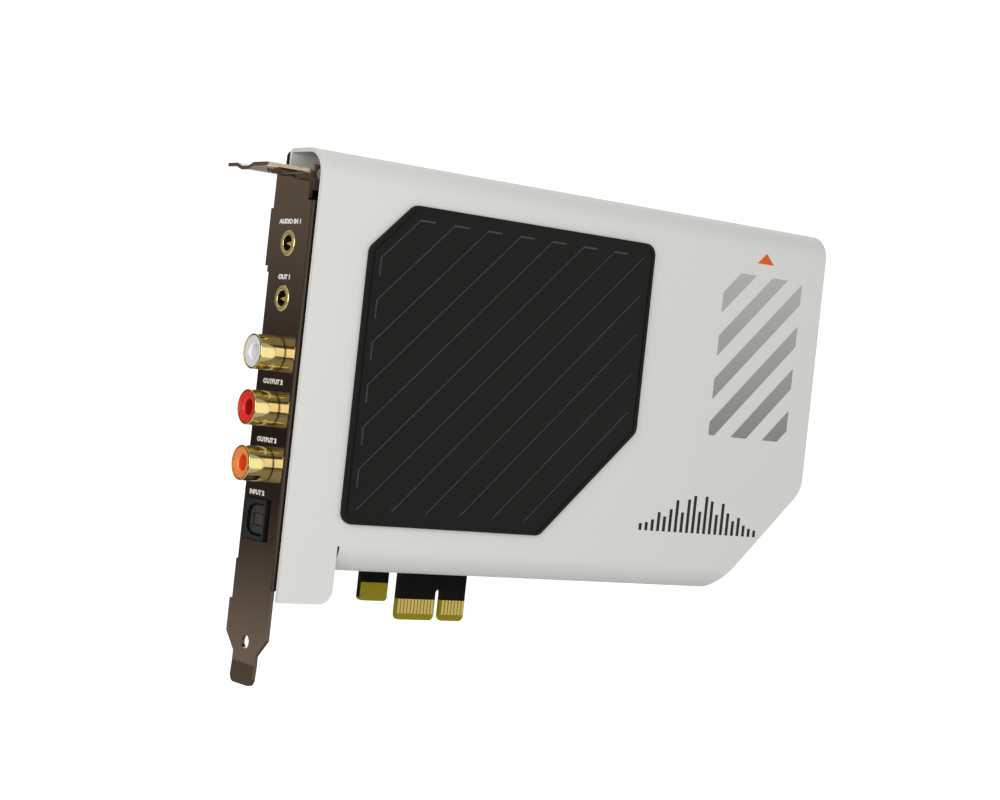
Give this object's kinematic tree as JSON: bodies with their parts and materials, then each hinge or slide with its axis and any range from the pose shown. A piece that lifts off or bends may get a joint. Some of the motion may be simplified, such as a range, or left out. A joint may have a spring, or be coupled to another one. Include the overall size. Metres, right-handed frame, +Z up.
{
  "type": "pci express sound card",
  "caption": "Sound card for an expansion slot: dark bracket with phono, mini-jack and shuttered optical sockets, white bent shroud with a black grooved panel, gold edge connector.",
  "frame": {"origin": "foot of the edge connector, in the middle of its key notch and of the board's thickness", "axes": "+X along the card away from the bracket, +Y towards the board's solder side, +Z up from the slot"},
  "size_m": [0.1745, 0.0225, 0.1253],
  "materials": {
    "dark_nickel": "polished dark bronze plating on steel sheet",
    "zinc": "zinc plated steel",
    "gold_plate": "polished gold plating",
    "white_plastic": "moulded",
    "red_plastic": "moulded",
    "orange_plastic": "moulded",
    "black_plastic": "moulded, fine grain",
    "shutter_plastic": "moulded, fine grain",
    "solder_mask": "black solder mask on glass laminate",
    "white_coat": "satin white coating on aluminium sheet",
    "black_panel": "moulded, soft matt",
    "silver_foil": "metallic film",
    "orange_film": "printed film",
    "bronze": "phosphor bronze leaf",
    "chip_epoxy": "moulded epoxy",
    "capacitor_can": "aluminium can",
    "film_box": "moulded box",
    "relay_case": "moulded case",
    "ferrite": "pressed ferrite",
    "oscillator_can": "plated lid",
    "ceramic_tan": "fired ceramic",
    "resistor_black": "glazed film"
  },
  "bodies": {
    "card": {"adc_chip": "chip_epoxy", "audio_processor": "chip_epoxy", "bracket": "dark_nickel", "bracket_nuts": "zinc", "bracket_screws": "zinc", "bracket_spacers": "zinc", "bus_capacitors": "ceramic_tan", "ceramic_capacitors": "ceramic_tan", "circuit_board": "solder_mask", "clock_oscillators": "oscillator_can", "dac_chip": "chip_epoxy", "edge_contacts": "gold_plate", "film_capacitors": "film_box", "flange_nuts": "zinc", "flange_screws": "zinc", "flash_memory": "chip_epoxy", "foil_stripes": "silver_foil", "front_panel": "black_panel", "header_pins": "gold_plate", "headphone_amp": "chip_epoxy", "inductors": "ferrite", "jack_body_1": "black_plastic", "jack_body_2": "black_plastic", "jack_contacts_1": "gold_plate", "jack_contacts_2": "gold_plate", "jack_nose_1": "gold_plate", "jack_nose_2": "gold_plate", "large_electrolytics": "capacitor_can", "marker_triangle": "orange_film", "op_amps": "chip_epoxy", "optical_housing": "black_plastic", "optical_receiver": "black_plastic", "optical_spring": "bronze", "panel_header": "black_plastic", "phono_body_1": "black_plastic", "phono_body_2": "black_plastic", "phono_body_3": "black_plastic", "phono_contact_1": "gold_plate", "phono_contact_2": "gold_plate", "phono_contact_3": "gold_plate", "phono_insulator_1": "white_plastic", "phono_insulator_2": "red_plastic", "phono_insulator_3": "orange_plastic", "phono_sleeve_1": "gold_plate", "phono_sleeve_2": "gold_plate", "phono_sleeve_3": "gold_plate", "regulators": "chip_epoxy", "relays": "relay_case", "resistors": "resistor_black", "shroud": "white_coat", "small_electrolytics": "capacitor_can", "standoff_screws": "zinc", "standoffs": "zinc"},
    "shutter": {"optical_shutter": "shutter_plastic"}
  },
  "joints": [
    {"name": "shutter_hinge", "type": "hinge", "parent": "card", "child": "shutter", "pos_m": [-0.05665, -0.00908, 0.023], "axis": [0, 0, -1], "range_deg": [0, 85], "stiffness_Nm_per_rad": 0.0001, "springref_deg": -20.05, "deforming": ["optical_spring"]}
  ]
}
